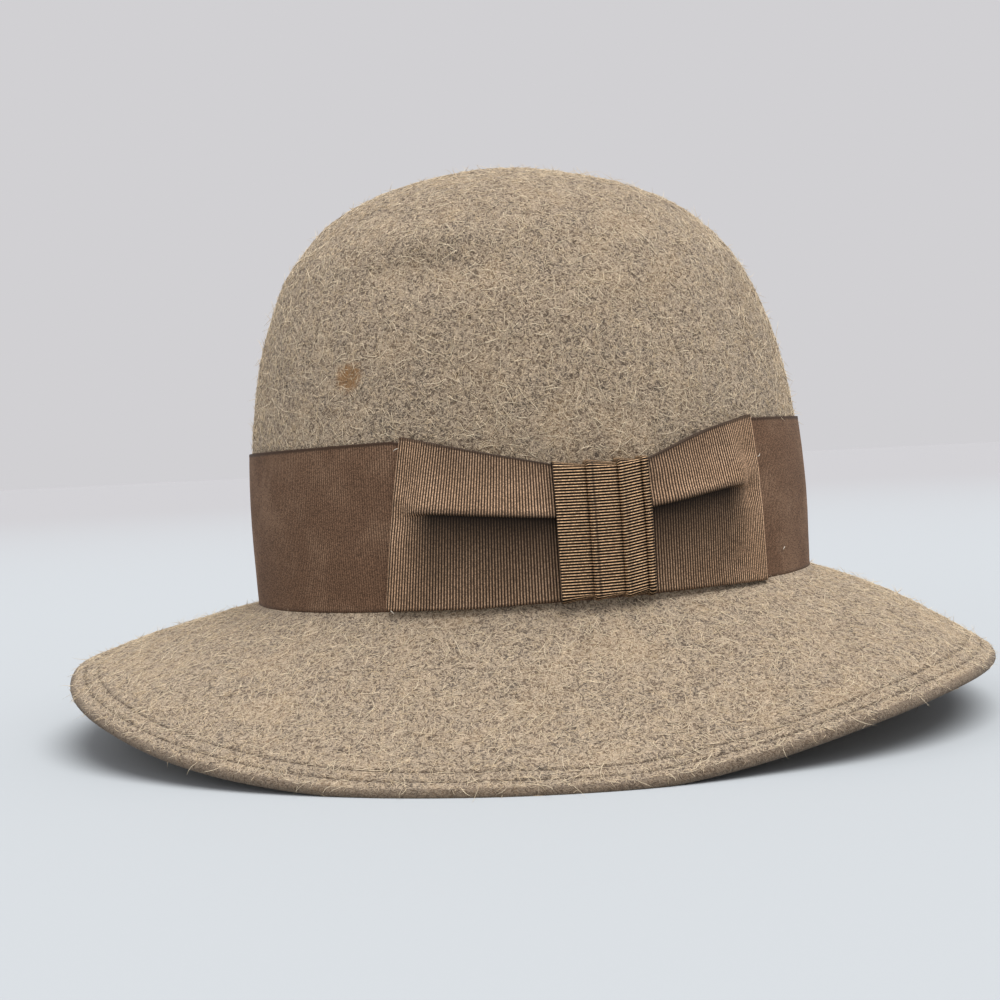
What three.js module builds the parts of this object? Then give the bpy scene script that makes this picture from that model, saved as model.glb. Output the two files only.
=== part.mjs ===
// A felt cloche hat with a grosgrain hat band and a flat pleated bow.
// Millimetres, +Z up. The hat stands on the plane z = 0 by the edge of its brim, and the origin lies
// in that plane below the middle of the brim's outline. +X is the hat's front, and -Y its bow side.
import * as THREE from 'three';

// Crown, measured outside the felt
const crownLength = 195;        // front to back at the break, the line where crown and brim meet
const crownWidth = 164;         // side to side at the break
const crownHeight = 147.5;      // break to top
const crownRounding = 0.034;    // share by which the plan widens at the top, so that it grows rounder
const crownLean = 1.5;          // degrees that the crown tips back, towards -X
const crownDroop = 4;           // how much lower the dome is in front than in the middle, at full reach
const dentDepth = 2.6;          // the soft dent that a thumb left high on the bow side

// Brim, from the break out to its edge, in plan
const brimFront = 61;
const brimBack = 64;
const brimSide = 60;
const brimBow = 4;              // rise of the brim's middle over a straight line from break to edge
const breakHeight = 44.5;       // break above the surface that the hat stands on
const restPress = 0.9;          // how far the edge is pressed flat where it stands

// Felt
const feltWall = 2;
const hemWidth = 9.5;           // the edge is turned under and sewn down
const hemThickness = 3.2;       // both layers of the turned edge

// Ribbon
const ribbonWidth = 52.5;
const ribbonThickness = 1;
const ribbonGap = 0.3;          // clearance between any two layers that lie on each other

// Bow, measured along the band
const bowForward = 21.3;        // knot's middle ahead of the crown's side
const knotWidth = 28;
const backLoopLength = 48.5;    // knot's edge to the loop's fold
const frontLoopLength = 42.5;
const backLoopSlant = 7;        // how much further the fold reaches at its foot than at its head
const frontLoopSlant = 4;
const loopOpening = 0.5;        // air between a loop's two layers
const tuckPuff = 1.3;           // how far the upper fold of a loop stands over the lower one
const knotPuff = 0.5;           // how far each pleat of the knot stands over the next

// Outline of the crown from the break up. rise is a share of crownHeight, and reach a share of the
// half length and the half width at the break.
const crownSections = [
  { rise: 0, reach: 1 },
  { rise: 0.09, reach: 1.004 },
  { rise: 0.18, reach: 1.006 },
  { rise: 0.28, reach: 1.001 },
  { rise: 0.38, reach: 0.989 },
  { rise: 0.48, reach: 0.966 },
  { rise: 0.575, reach: 0.933 },
  { rise: 0.665, reach: 0.888 },
  { rise: 0.75, reach: 0.829 },
  { rise: 0.825, reach: 0.74 },
  { rise: 0.885, reach: 0.637 },
  { rise: 0.93, reach: 0.505 },
  { rise: 0.965, reach: 0.345 },
  { rise: 0.991, reach: 0.175 },
  { rise: 1, reach: 0 },
];

// Soft dents and ridges of the crown. turn is in degrees from the front towards the bow side, rise
// and tall are shares of crownHeight, wide is in degrees, and depth is a share of dentDepth.
const crownDents = [
  { turn: 113, rise: 0.71, wide: 13, tall: 0.05, depth: 1 },
  { turn: 92, rise: 0.735, wide: 16, tall: 0.05, depth: 0.6 },
  { turn: 112, rise: 0.785, wide: 22, tall: 0.04, depth: -0.45 },
];

// Edge of the brim, the same on both sides. turn is in degrees from the front, lift is the edge's
// height as a share of breakHeight, reach the edge's place as a share of an ellipse through the
// brim's ends and sides, and bow a share of brimBow.
const brimEdge = [
  { turn: 0, lift: 0.37, reach: 1, bow: 1 },
  { turn: 15, lift: 0.38, reach: 1.012, bow: 0.9 },
  { turn: 30, lift: 0.38, reach: 1.027, bow: 0.6 },
  { turn: 42, lift: 0.35, reach: 1.025, bow: 0.2 },
  { turn: 55, lift: 0.25, reach: 1.015, bow: -0.3 },
  { turn: 67, lift: 0.11, reach: 1, bow: -0.7 },
  { turn: 78, lift: 0.02, reach: 1, bow: -0.9 },
  { turn: 84, lift: 0, reach: 1, bow: -0.95 },
  { turn: 95, lift: 0, reach: 1, bow: -0.95 },
  { turn: 107, lift: 0, reach: 1, bow: -0.85 },
  { turn: 119, lift: 0.05, reach: 1.005, bow: -0.6 },
  { turn: 132, lift: 0.155, reach: 1.015, bow: -0.3 },
  { turn: 147, lift: 0.33, reach: 1.025, bow: 0 },
  { turn: 163, lift: 0.45, reach: 1.015, bow: 0.3 },
  { turn: 180, lift: 0.55, reach: 1, bow: 0.35 },
];

// A loop's front from the knot, out 0, to its fold, out 1. top, foot and tuck are heights above the
// band's foot as shares of ribbonWidth, and puff is a share of tuckPuff.
const backLoopSections = [
  { out: 0, top: 0.8, foot: 0.012, tuck: 0.49, puff: 1 },
  { out: 0.5, top: 0.91, foot: 0, tuck: 0.54, puff: 0.85 },
  { out: 1, top: 1.02, foot: 0.01, tuck: 0.59, puff: 0.25 },
];
const frontLoopSections = [
  { out: 0, top: 0.795, foot: 0.012, tuck: 0.51, puff: 1 },
  { out: 0.5, top: 0.935, foot: 0.004, tuck: 0.575, puff: 0.8 },
  { out: 1, top: 1.02, foot: -0.005, tuck: 0.62, puff: 0.1 },
];

// Across a loop's front. part says between which two heights of the section a line of points lies,
// share where between them, and puff is a share of the section's own puff.
const loopLines = [
  { part: 'lower', share: 0, puff: 0 },
  { part: 'lower', share: 0.35, puff: 0.35 },
  { part: 'lower', share: 0.75, puff: 0.3 },
  { part: 'lower', share: 0.97, puff: 0.05 },
  { part: 'upper', share: 0, puff: 1 },
  { part: 'upper', share: 0.3, puff: 0.95 },
  { part: 'upper', share: 0.65, puff: 0.5 },
  { part: 'upper', share: 1, puff: 0 },
];

// Across the knot. across is a share of knotWidth from its back edge, and puff a share of knotPuff.
const knotPleats = [
  { across: 0, puff: 0.2 },
  { across: 0.2, puff: 0.5 },
  { across: 0.365, puff: 0.1 },
  { across: 0.385, puff: 1 },
  { across: 0.675, puff: 0.3 },
  { across: 0.695, puff: 1 },
  { across: 1, puff: 0.7 },
];

// Fineness of the faceted surfaces
const columns = 64;             // round the hat
const ribbonRows = 4;           // up the band
const domeRows = 12;            // from the band to the top
const loopSteps = 6;            // along one layer of a loop
const foldSteps = 4;            // round a loop's fold
const cornerSteps = 3;          // round a corner of the knot
const brimShares = [0.03, 0.12, 0.28, 0.46, 0.64];   // rings of the brim's top, break to hem
const hemShares = [0.55, 1];                         // rings of the turned edge, as shares of it

const bandTurns = 1440;         // steps in which the band's length is added up

const halfLength = crownLength / 2;
const halfWidth = crownWidth / 2;
const middle = (brimBack - brimFront) / 2;           // crown's place, so that the outline is centred
const rimRadius = hemThickness / 2;
const pinchedTop = backLoopSections[0].top * ribbonWidth;

// Value of a column at x, on a smooth curve through the rows of a table.
function readTable(rows, key, column, x) {
  const last = rows.length - 1;
  let i = 0;
  while (i < last - 1 && x > rows[i + 1][key]) i += 1;
  const slope = (k) => {
    const a = rows[Math.max(k - 1, 0)];
    const b = rows[Math.min(k + 1, last)];
    return (b[column] - a[column]) / (b[key] - a[key]);
  };
  const step = rows[i + 1][key] - rows[i][key];
  const t = THREE.MathUtils.clamp((x - rows[i][key]) / step, 0, 1);
  const start = rows[i][column];
  const end = rows[i + 1][column];
  return start * (1 + 2 * t) * (1 - t) ** 2 + slope(i) * step * t * (1 - t) ** 2
    + end * (3 - 2 * t) * t ** 2 - slope(i + 1) * step * t ** 2 * (1 - t);
}

// The crown's outline as one curve over the top, so that it is level there.
const overTheTop = crownSections.slice(-4, -1).reverse();
const crownCurve = new THREE.SplineCurve([
  ...crownSections.map((row) => new THREE.Vector2(row.reach, row.rise)),
  ...overTheTop.map((row) => new THREE.Vector2(-row.reach, row.rise)),
]);
const topOfCurve = (crownSections.length - 1) / (crownSections.length + overTheTop.length - 1);

// Share of the way from break to top, on the crown's curve, at which a height is reached.
function alongAt(height) {
  let low = 0;
  let high = topOfCurve;
  for (let i = 0; i < 40; i += 1) {
    const mid = (low + high) / 2;
    if (crownCurve.getPoint(mid).y * crownHeight < height) low = mid;
    else high = mid;
  }
  return low / topOfCurve;
}

// Depth of the dents at a turn in degrees and a height share.
function dentAt(turn, rise) {
  let depth = 0;
  for (const dent of crownDents) {
    const aside = (turn - dent.turn) / dent.wide;
    const above = (rise - dent.rise) / dent.tall;
    depth += dent.depth * dentDepth * Math.exp(-aside * aside - above * above);
  }
  return depth;
}

// A point of the crown's own upright frame, tipped back and set over the surface.
function placeCrown(x, y, z) {
  const lean = THREE.MathUtils.degToRad(crownLean);
  return new THREE.Vector3(
    middle + x * Math.cos(lean) - z * Math.sin(lean),
    y,
    breakHeight + x * Math.sin(lean) + z * Math.cos(lean),
  );
}

// Point of the crown at a turn in radians, standing proud of the felt by some millimetres.
function crownPoint(turn, along, proud) {
  const section = crownCurve.getPoint(along * topOfCurve);
  const dent = dentAt(THREE.MathUtils.radToDeg(turn), section.y);
  const long = section.x * halfLength;
  const wide = section.x * halfWidth * (1 + crownRounding * section.y);
  const normal = new THREE.Vector2(Math.cos(turn) * wide, Math.sin(turn) * long).normalize();
  const out = proud - dent;
  return placeCrown(
    long * Math.cos(turn) + out * normal.x,
    -(wide * Math.sin(turn) + out * normal.y),
    section.y * crownHeight - crownDroop * section.y ** 2 * section.x * Math.cos(turn),
  );
}

// One line of the brim from break to edge at a turn: its start, its direction in plan, and the
// centre and slope of its round edge.
function brimLine(turn) {
  const degrees = THREE.MathUtils.radToDeg(turn);
  const folded = degrees > 180 ? 360 - degrees : degrees;
  const start = crownPoint(turn, 0, 0);
  const ends = Math.cos(turn) > 0 ? halfLength + brimFront : halfLength + brimBack;
  const reach = readTable(brimEdge, 'turn', 'reach', folded);
  const edge = new THREE.Vector3(
    middle + ends * reach * Math.cos(turn),
    -(halfWidth + brimSide) * reach * Math.sin(turn),
    0,
  );
  const outward = new THREE.Vector3(edge.x - start.x, edge.y - start.y, 0);
  const length = outward.length() - rimRadius;
  outward.normalize();
  const bow = readTable(brimEdge, 'turn', 'bow', folded) * brimBow;
  const lift = readTable(brimEdge, 'turn', 'lift', folded) * breakHeight;
  const centreZ = lift - restPress + rimRadius;
  const slope = Math.atan2(centreZ - start.z - 4 * bow, length);
  return { start, outward, length, bow, centreZ, slope };
}

// A point of a brim line, some way out from its start and at a height above the surface. The felt
// is flat where it would pass below the surface that it stands on.
function brimPlace(line, out, z) {
  const point = line.start.clone().addScaledVector(line.outward, out);
  point.z = Math.max(z, 0);
  return point;
}

// Top of the brim, a share of the way from the break to the edge: a straight line with a bow on it.
function brimTop(turn, share) {
  const line = brimLine(turn);
  const endOut = line.length - rimRadius * Math.sin(line.slope);
  const endZ = line.centreZ + rimRadius * Math.cos(line.slope);
  const bowed = 4 * share * (1 - share) * line.bow;
  return brimPlace(line, endOut * share, line.start.z + (endZ - line.start.z) * share + bowed);
}

// The round edge, where round runs from 0 on top to 1 below.
function rimPoint(turn, round) {
  const line = brimLine(turn);
  const angle = line.slope + Math.PI / 2 - Math.PI * round;
  return brimPlace(
    line,
    line.length + rimRadius * Math.cos(angle),
    line.centreZ + rimRadius * Math.sin(angle),
  );
}

// Share of the brim's top at a distance from its edge.
function shareFromEdge(turn, distance) {
  const line = brimLine(turn);
  const size = Math.hypot(line.length, line.start.z - line.centreZ);
  return 1 - distance / size;
}

const ring = (point) => Array.from({ length: columns }, (_, j) => point((2 * Math.PI * j) / columns));

// Outward normal of ring i at column j, from the neighbours on four sides.
function ringNormal(rings, i, j) {
  const above = rings[Math.max(i - 1, 0)][j];
  const below = rings[Math.min(i + 1, rings.length - 1)][j];
  const before = rings[i][(j + columns - 1) % columns];
  const after = rings[i][(j + 1) % columns];
  const down = below.clone().sub(above);
  return after.clone().sub(before).cross(down).normalize();
}

// Rings of quads joined into one closed mesh. ends is 'caps' for a strip whose rings go up one face
// and down the other, 'loop' for rings that come back to the first, or the two end points.
function loft(rings, ends) {
  const size = rings[0].length;
  const points = rings.flat();
  const faces = [];
  const quad = (a, b, c, d) => faces.push(a, b, c, a, c, d);
  const spans = ends === 'loop' ? rings.length : rings.length - 1;
  for (let i = 0; i < spans; i += 1) {
    const next = ((i + 1) % rings.length) * size;
    for (let j = 0; j < size; j += 1) {
      const k = (j + 1) % size;
      quad(i * size + j, i * size + k, next + k, next + j);
    }
  }
  const lastRing = (rings.length - 1) * size;
  if (ends === 'caps') {
    for (let j = 0; j < size / 2 - 1; j += 1) {
      quad(j, size - 1 - j, size - 2 - j, j + 1);
      quad(lastRing + j, lastRing + j + 1, lastRing + size - 2 - j, lastRing + size - 1 - j);
    }
  } else if (ends !== 'loop') {
    const firstPole = points.push(ends[0]) - 1;
    const lastPole = points.push(ends[1]) - 1;
    for (let j = 0; j < size; j += 1) {
      const k = (j + 1) % size;
      faces.push(firstPole, k, j, lastPole, lastRing + j, lastRing + k);
    }
  }
  return facedOut(points, faces);
}

// A geometry whose faces point out: the sum of the corner tetrahedra is the volume, with its sign.
function facedOut(points, faces) {
  let volume = 0;
  for (let i = 0; i < faces.length; i += 3) {
    const [a, b, c] = [points[faces[i]], points[faces[i + 1]], points[faces[i + 2]]];
    volume += a.dot(b.clone().cross(c));
  }
  const geometry = new THREE.BufferGeometry();
  geometry.setFromPoints(points);
  geometry.setIndex(volume > 0 ? faces : faces.toReversed());
  geometry.computeVertexNormals();
  return geometry;
}

// Felt body: crown and brim in one shell, open below, with its edge turned under.
function feltBody() {
  const bandTop = alongAt(ribbonWidth);
  const crownAlongs = [];
  for (let i = domeRows - 1; i > 0; i -= 1) crownAlongs.push(bandTop + ((1 - bandTop) * i) / domeRows);
  for (let i = ribbonRows; i >= 0; i -= 1) crownAlongs.push(alongAt((ribbonWidth * i) / ribbonRows));
  const hemStart = (turn) => shareFromEdge(turn, hemWidth);

  const outside = crownAlongs.map((along) => ring((turn) => crownPoint(turn, along, 0)));
  for (const share of brimShares) outside.push(ring((turn) => brimTop(turn, share)));
  const hemRing = outside.length;
  outside.push(ring((turn) => brimTop(turn, hemStart(turn))));
  for (const share of hemShares) {
    outside.push(ring((turn) => brimTop(turn, THREE.MathUtils.lerp(hemStart(turn), 1, share))));
  }
  const under = (i, depth) => outside[i].map((point, j) => {
    const inner = point.clone().addScaledVector(ringNormal(outside, i, j), -depth);
    inner.z = Math.max(inner.z, 0);
    return inner;
  });
  const rim = [0.25, 0.5, 0.75, 1].map((round) => ring((turn) => rimPoint(turn, round)));
  const inside = [];
  for (let i = hemRing + hemShares.length - 1; i >= hemRing; i -= 1) inside.push(under(i, hemThickness));
  for (let i = hemRing; i >= 0; i -= 1) inside.push(under(i, feltWall));

  const top = crownPoint(0, 1, 0);
  const topInside = placeCrown(0, 0, crownHeight - feltWall);
  return loft([...outside, ...rim, ...inside], [top, topInside]);
}

// Length along the band's foot from the front round to each turn, and the turn at a length.
const bandLengths = [0];
for (let i = 1; i <= bandTurns; i += 1) {
  const turn = (Math.PI * (i - 0.5)) / bandTurns;
  const speed = Math.hypot(halfLength * Math.sin(turn), halfWidth * Math.cos(turn));
  bandLengths.push(bandLengths[i - 1] + (speed * Math.PI) / bandTurns);
}
const knotPlace = bandLengths[bandTurns / 2] - bowForward;

function turnAt(length) {
  const i = THREE.MathUtils.clamp(bandLengths.findIndex((value) => value > length), 1, bandTurns);
  const share = (length - bandLengths[i - 1]) / (bandLengths[i] - bandLengths[i - 1]);
  return (Math.PI * (i - 1 + share)) / bandTurns;
}

function lengthAt(turn) {
  const folded = turn > Math.PI ? 2 * Math.PI - turn : turn;
  const i = Math.min(Math.floor((folded * bandTurns) / Math.PI), bandTurns - 1);
  const share = (folded * bandTurns) / Math.PI - i;
  return THREE.MathUtils.lerp(bandLengths[i], bandLengths[i + 1], share);
}

// A point over the band: a length round from the front, a height over the band's foot, and how far
// it stands proud of the felt.
function bandPoint(length, height, proud) {
  return crownPoint(turnAt(length), alongAt(height + ribbonGap), proud);
}

// How far out on a loop a turn of the band lies: 0 under the knot, 1 at the fold and beyond it.
function outOnLoop(turn) {
  if (turn > Math.PI) return 1;
  const aside = lengthAt(turn) - knotPlace;
  const loopLength = aside > 0 ? backLoopLength : frontLoopLength;
  return THREE.MathUtils.clamp((Math.abs(aside) - knotWidth / 2) / loopLength, 0, 1);
}

// Hat band: a ring of ribbon whose upper edge is drawn down under the knot.
function hatBand() {
  const drawnDown = pinchedTop - ribbonThickness - ribbonGap;
  const strip = (turn) => {
    const height = THREE.MathUtils.lerp(drawnDown, ribbonWidth, outOnLoop(turn));
    const heights = Array.from({ length: ribbonRows + 1 }, (_, i) => (height * i) / ribbonRows);
    const face = (proud) => heights.map((z) => crownPoint(turn, alongAt(z + ribbonGap), proud));
    return [...face(ribbonGap + ribbonThickness), ...face(ribbonGap).reverse()];
  };
  return loft(ring(strip), 'loop');
}

const loopBackProud = 2 * ribbonGap + 1.5 * ribbonThickness;       // middle of a loop's back layer
const loopFrontProud = loopBackProud + loopOpening + ribbonThickness;

// Loop of the bow: ribbon that runs out from the knot on the band, turns at the fold and comes back
// in front, with a tuck along it. side is 1 towards the back of the hat and -1 towards its front.
function bowLoop(sections, length, slant, side) {
  const inner = -knotWidth / 2 + 2 * ribbonGap;      // where the layers end, under the knot
  const bend = (loopFrontProud - loopBackProud) / 2;
  const outs = [inner];
  for (let i = 0; i <= loopSteps; i += 1) outs.push((length * i) / loopSteps);
  const stations = outs.map((out) => ({ out, round: 0 }));
  for (let i = 1; i < foldSteps; i += 1) stations.push({ out: length, round: (Math.PI * i) / foldSteps });
  for (const out of outs.toReversed()) stations.push({ out, round: Math.PI });
  const strip = ({ out, round }) => {
    const share = THREE.MathUtils.clamp(out / length, 0, 1);
    const read = (column) => readTable(sections, 'out', column, share) * ribbonWidth;
    const puff = readTable(sections, 'out', 'puff', share) * tuckPuff;
    const face = (outer) => loopLines.map((line) => {
      const low = line.part === 'lower' ? read('foot') : read('tuck');
      const high = line.part === 'lower' ? read('tuck') : read('top');
      const height = THREE.MathUtils.lerp(low, high, line.share);
      const fan = (0.5 - height / ribbonWidth) * slant * share;
      const radius = bend + outer * (ribbonThickness / 2);
      const swell = outer > 0 && round === Math.PI ? line.puff * puff : 0;
      const away = knotWidth / 2 + out + fan + radius * Math.sin(round);
      const proud = loopBackProud + bend - radius * Math.cos(round) + swell;
      return bandPoint(knotPlace + side * away, height, proud);
    });
    return [...face(1), ...face(-1).reverse()];
  };
  return loft(stations.map(strip), 'caps');
}

// Knot: pleated ribbon that wraps the bow's middle over its top and foot, back towards the felt.
function bowKnot() {
  const half = ribbonThickness / 2;
  const foot = backLoopSections[0].foot * ribbonWidth - ribbonGap - half;
  const top = pinchedTop + ribbonGap + half;
  const footBack = 2 * ribbonGap + ribbonThickness;
  const front = loopFrontProud + ribbonThickness + tuckPuff + ribbonGap;
  const corner = 2 * ribbonThickness;
  const path = [{ proud: ribbonGap, height: top, round: Math.PI / 2 }];
  for (let i = 0; i <= cornerSteps; i += 1) {
    const round = (Math.PI / 2) * (1 - i / cornerSteps);
    path.push({ proud: front - corner, height: top - corner, round, radius: corner });
  }
  path.push({ proud: front, height: (top + foot) / 2, round: 0 });
  for (let i = 0; i <= cornerSteps; i += 1) {
    const round = (-Math.PI / 2) * (i / cornerSteps);
    path.push({ proud: front - corner, height: foot + corner, round, radius: corner });
  }
  path.push({ proud: footBack, height: foot, round: -Math.PI / 2 });
  const strip = ({ proud, height, round, radius = 0 }) => {
    const face = (outer) => knotPleats.map((pleat) => {
      const length = knotPlace + knotWidth * (0.5 - pleat.across);
      const swell = outer > 0 ? pleat.puff * knotPuff * Math.cos(round) : 0;
      const reach = radius + outer * half + swell;
      const raised = height + reach * Math.sin(round);
      return bandPoint(length, raised, proud + reach * Math.cos(round));
    });
    return [...face(1), ...face(-1).reverse()];
  };
  return loft(path.map(strip), 'caps');
}

const felt = new THREE.MeshStandardMaterial({ color: 0x9c8873, roughness: 0.95, metalness: 0 });
const bandRibbon = new THREE.MeshStandardMaterial({ color: 0x66503f, roughness: 0.7, metalness: 0 });
const bowRibbon = new THREE.MeshStandardMaterial({ color: 0x6e5747, roughness: 0.65, metalness: 0 });

function piece(name, geometry, material) {
  const mesh = new THREE.Mesh(geometry, material.clone());
  mesh.name = name;
  return mesh;
}

const hat = new THREE.Group();
hat.name = 'cloche_hat';
hat.add(
  piece('felt_body', feltBody(), felt),
  piece('hat_band', hatBand(), bandRibbon),
  piece('bow_loop_back', bowLoop(backLoopSections, backLoopLength, backLoopSlant, 1), bowRibbon),
  piece('bow_loop_front', bowLoop(frontLoopSections, frontLoopLength, frontLoopSlant, -1), bowRibbon),
  piece('bow_knot', bowKnot(), bowRibbon),
);

export default hat;
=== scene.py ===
import math

import bpy
import numpy as np
from mathutils import Matrix, Vector


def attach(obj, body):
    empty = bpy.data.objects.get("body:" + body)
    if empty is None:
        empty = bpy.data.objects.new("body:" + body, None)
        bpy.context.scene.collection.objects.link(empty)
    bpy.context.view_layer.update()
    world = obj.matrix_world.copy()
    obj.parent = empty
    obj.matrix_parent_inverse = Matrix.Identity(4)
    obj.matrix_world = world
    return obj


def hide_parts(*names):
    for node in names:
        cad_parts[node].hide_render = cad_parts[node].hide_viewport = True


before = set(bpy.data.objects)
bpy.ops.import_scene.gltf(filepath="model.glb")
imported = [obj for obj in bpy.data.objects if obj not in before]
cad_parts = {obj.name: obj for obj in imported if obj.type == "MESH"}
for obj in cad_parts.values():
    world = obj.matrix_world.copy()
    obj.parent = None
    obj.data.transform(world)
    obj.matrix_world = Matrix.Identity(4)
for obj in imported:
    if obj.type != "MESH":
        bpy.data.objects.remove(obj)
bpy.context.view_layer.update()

# A felt cloche hat with a grosgrain band and a pleated bow.
# Lengths are worked out in millimetres and put into the meshes in metres.
# turn is the way round the hat, 0 at the front and a quarter turn at the bow side.

mm = 0.001
pi = np.pi
root = "root"


# Tables and curves

# Columns of a table at x in its first one. Each span is a cubic whose slopes use both neighbours.
def readTable(x, rows):
    table = np.array(rows, float)
    keys, values = table[:, 0], table[:, 1:]
    slopes = np.empty_like(values)
    slopes[1:-1] = (values[2:] - values[:-2]) / (keys[2:] - keys[:-2])[:, None]
    slopes[0] = (values[1] - values[0]) / (keys[1] - keys[0])
    slopes[-1] = (values[-1] - values[-2]) / (keys[-1] - keys[-2])
    i = np.clip(np.searchsorted(keys, x, side="right") - 1, 0, len(keys) - 2)
    step = (keys[i + 1] - keys[i])[..., None]
    t = np.clip((x - keys[i])[..., None] / step, 0, 1)
    found = (values[i] * (1 + 2 * t) * (1 - t) ** 2 + slopes[i] * step * t * (1 - t) ** 2
             + values[i + 1] * (3 - 2 * t) * t ** 2 - slopes[i + 1] * step * t ** 2 * (1 - t))
    return np.moveaxis(found, -1, 0)


def smoothStep(x):
    x = np.clip(x, 0, 1)
    return x * x * (3 - 2 * x)


# A peak at no distance and less further out: peak * exp(-(distance / reach) ^ power).
def fadeOut(distance, peak, reach, power=2):
    return peak * np.exp(-(distance / reach) ** power)


# Soft unevenness: random values on a lattice, blended smoothly between its eight nearest points.
def softNoise(points, size, seed, height):
    latticeSize, offset = 32, 100.0
    lattice = np.random.default_rng(seed).uniform(-1, 1, (latticeSize,) * 3)
    place = points / size + offset
    cell = np.floor(place).astype(int)
    part = smoothStep(place - cell)
    total = 0
    for corner in np.ndindex(2, 2, 2):
        weight = np.abs(1 - np.array(corner) - part).prod(-1)
        x, y, z = np.moveaxis((cell + corner) % latticeSize, -1, 0)
        total = total + weight * lattice[x, y, z]
    return total * height


def unit(vectors):
    return vectors / np.maximum(np.linalg.norm(vectors, axis=-1, keepdims=True), 1e-12)


# Sums of the numbers up to each place, from 0 to their total.
def runningSum(parts):
    return np.concatenate([np.zeros(parts.shape[:-1] + (1,)), np.cumsum(parts, -1)], -1)


# Length from the first point of a line to each of its points.
def lengthsAlong(points):
    return runningSum(np.linalg.norm(np.diff(points, axis=0), axis=1))


def notBelow(points, lowest=0.0):
    points = points.copy()
    points[..., 2] = np.maximum(points[..., 2], lowest)
    return points


# Felt: the crown's outline, its dents, and the edge of the brim

felt = {
    "crownLength": 195, "crownWidth": 164, "crownHeight": 147.5, "crownRounding": 0.034,
    "crownLean": 1.5, "crownDroop": 4, "dentDepth": 2.6, "brimFront": 61, "brimBack": 64,
    "brimSide": 60, "brimBow": 4, "breakHeight": 44.5, "restPress": 0.9, "wall": 2, "hemWidth": 9.5,
    "hemThickness": 3.2,
    # noises: size, seed and share, and what stays under the band and on the edge
    "unevenness": 0.35, "noises": ((11.0, 3, 0.7), (4.2, 4, 0.3)), "underBand": 0.25, "onEdge": 0.3,
    # mesh: its rows and columns, and the rows inside the turned edge, brim and crown
    "columns": 280, "crownRows": 96, "brimRows": 34, "hemRows": 30, "rimRows": 8,
    "insideRows": (16, 16, 30), "firstRow": 0.6, "outlineSteps": 801, "easeTimes": 3, "spareRows": 4,
    # share of the darker edge colour above it, round it, beneath and inside: partly the rubbed felt's
    # own colour, partly painted shade round the rim's lower half, beneath it and inside
    "edgeAbove": (0.08, 0.22, 0.45), "edgeRound": (0.62, 0.95), "edgeUnder": (0.7, 0.25),
    "edgeInside": 0.12, "grooveShade": 0.5,
}
# rise as a share of the crown's height, reach as a share of its half length and width
crownSections = [
    (0, 1), (0.09, 1.004), (0.18, 1.006), (0.28, 1.001), (0.38, 0.989), (0.48, 0.966),
    (0.575, 0.933), (0.665, 0.888), (0.75, 0.829), (0.825, 0.74), (0.885, 0.637), (0.93, 0.505),
    (0.965, 0.345), (0.991, 0.175), (1, 0),
]
# turn in degrees, rise, width in degrees, height as a share, depth as a share of dentDepth
crownDents = [(113, 0.71, 13, 0.05, 1), (92, 0.735, 16, 0.05, 0.6), (112, 0.785, 22, 0.04, -0.45)]
# turn in degrees, lift as a share of breakHeight, reach, bow as a share of brimBow
brimEdge = [
    (0, 0.37, 0.984, 0.8), (15, 0.38, 0.996, 0.7), (30, 0.38, 1.018, 0.45), (42, 0.35, 1.028, 0.1),
    (55, 0.25, 1.021, -0.33), (67, 0.11, 1, -0.7), (78, 0.02, 1, -0.9), (84, 0, 1, -0.95),
    (95, 0, 1, -0.95), (107, 0, 1, -0.85), (119, 0.05, 1.005, -0.6), (132, 0.155, 1.015, -0.3),
    (147, 0.33, 1.025, 0), (163, 0.45, 1.015, 0.3), (172, 0.5, 1.007, 0.34),
    (180, 0.51, 1.005, 0.35),
]

halfLength, halfWidth = felt["crownLength"] / 2, felt["crownWidth"] / 2
crownMiddle = (felt["brimBack"] - felt["brimFront"]) / 2
rimRadius = felt["hemThickness"] / 2
lean = math.radians(felt["crownLean"])
breakRow = felt["crownRows"] - 1
hemRow = breakRow + felt["brimRows"]
edgeRow = hemRow + felt["hemRows"]

# the sections and a little of the far side, so that the top comes out round
overTheTop = [(rise, -reach) for rise, reach in crownSections[-4:-1][::-1]]
outline = [(place - 1, *row) for place, row in enumerate(crownSections[:1] + crownSections + overTheTop)]
topPlace = len(crownSections) - 1


# Rise and reach of the crown at a share of the way up its outline.
def crownOutline(along):
    return readTable(np.asarray(along, float) * topPlace, outline)


alongSteps = np.linspace(0, 1, 2001)
riseSteps = np.maximum.accumulate(crownOutline(alongSteps)[0])


def alongAt(height):
    return np.interp(np.asarray(height, float) / felt["crownHeight"], riseSteps, alongSteps)


def placeCrown(x, y, z):
    return np.stack([crownMiddle + x * math.cos(lean) - z * math.sin(lean), y,
                     felt["breakHeight"] + x * math.sin(lean) + z * math.cos(lean)], -1)


# Crown: an ellipse at each height whose halves follow the outline, less the dents, bell curves in
# turn and rise, and less droop * rise^2 * reach * cos(turn). proud is the distance off the felt.
def crownPoint(turn, along, proud=0.0):
    rise, reach = crownOutline(along)
    degrees = np.degrees(turn)
    dent = 0
    for at, high, wide, tall, depth in crownDents:
        dent = dent + depth * felt["dentDepth"] * np.exp(
            -((degrees - at) / wide) ** 2 - ((rise - high) / tall) ** 2)
    long, broad = reach * halfLength, reach * halfWidth * (1 + felt["crownRounding"] * rise)
    nx, ny = np.cos(turn) * broad, np.sin(turn) * long
    size = np.maximum(np.hypot(nx, ny), 1e-9)
    out = proud - dent
    droop = felt["crownDroop"] * rise ** 2 * reach * np.cos(turn)
    return placeCrown(long * np.cos(turn) + out * nx / size,
                      -(broad * np.sin(turn) + out * ny / size), rise * felt["crownHeight"] - droop)


def rowShares(count):
    return np.linspace(0, 1, count + 1)[1:, None]


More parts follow.
